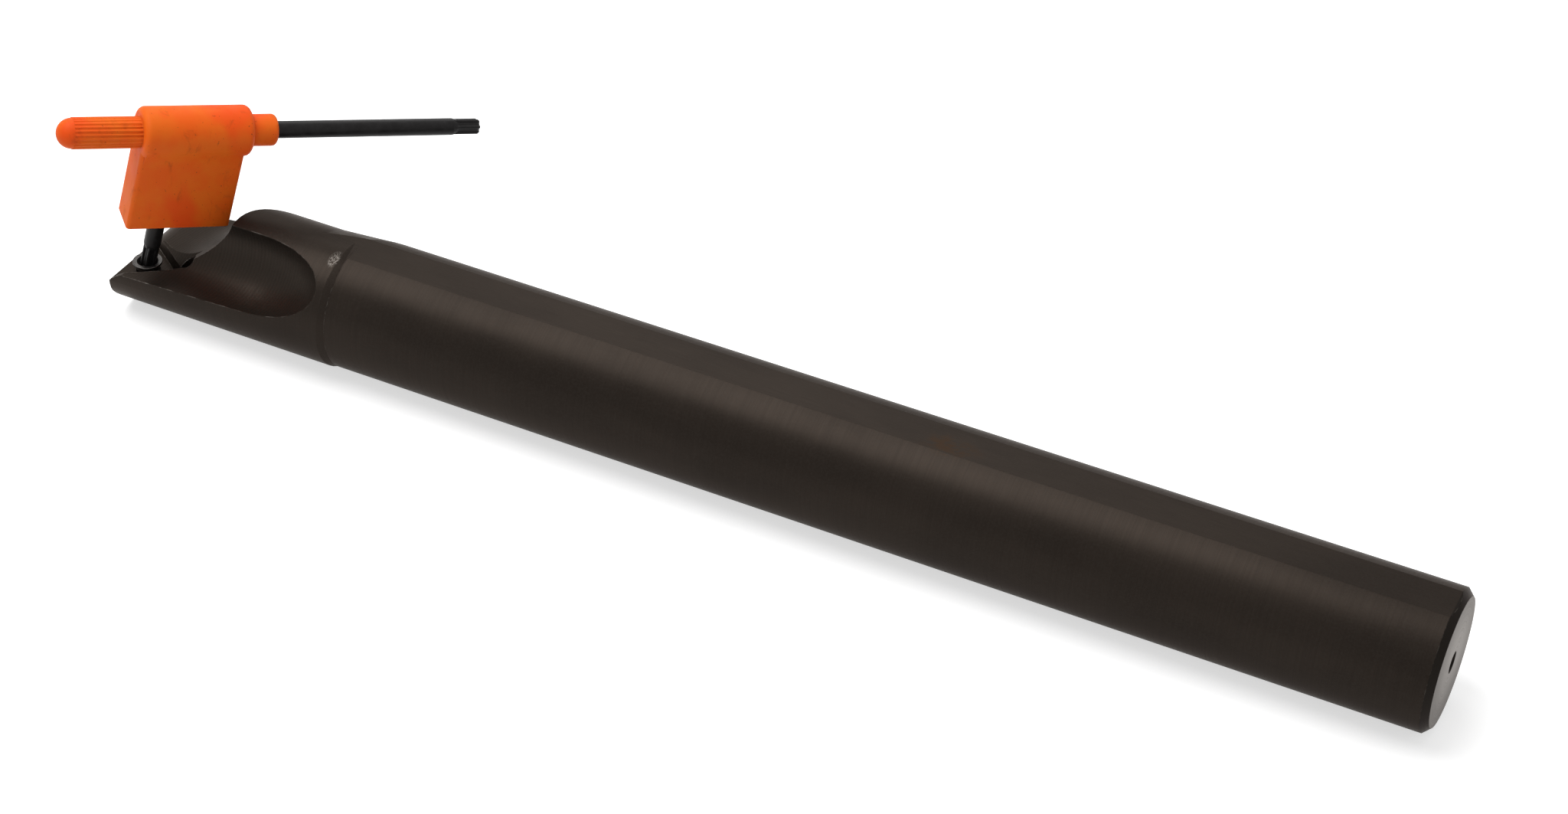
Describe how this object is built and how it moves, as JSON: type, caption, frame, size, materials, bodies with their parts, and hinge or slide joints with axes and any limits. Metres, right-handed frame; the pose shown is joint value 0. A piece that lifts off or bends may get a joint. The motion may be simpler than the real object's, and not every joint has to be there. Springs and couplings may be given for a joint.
{
  "type": "boring bar",
  "caption": "Steel boring bar with a screw clamped insert seat, chip gullets and a flatted round shank, its flag key standing in the clamp screw.",
  "frame": {"origin": "on the shank's axis, at the front end of the full round shank", "axes": "+X along the shank towards its plain end, the nose at minus X; +Z normal to the flats, the insert seat facing it; minus Y the cutting side"},
  "size_m": [0.2572, 0.0624, 0.0477],
  "materials": {
    "blackened_steel": "satin black oxide over turned and milled steel, bare at the plain end's face",
    "screw_steel": "dark steel, worn bright at the rim",
    "key_steel": "semi gloss black",
    "orange_plastic": "satin orange moulding"
  },
  "bodies": {
    "bar_body": {"bar": "blackened_steel"},
    "screw_body": {"clamp_screw": "screw_steel", "key_blade": "key_steel", "key_handle": "orange_plastic"}
  },
  "joints": [
    {"name": "screw_turn", "type": "hinge", "parent": "bar_body", "child": "screw_body", "pos_m": [-0.05215, -0.00621, -0.0032], "axis": [0, 0, 1], "range_deg": [-5, 310]}
  ]
}
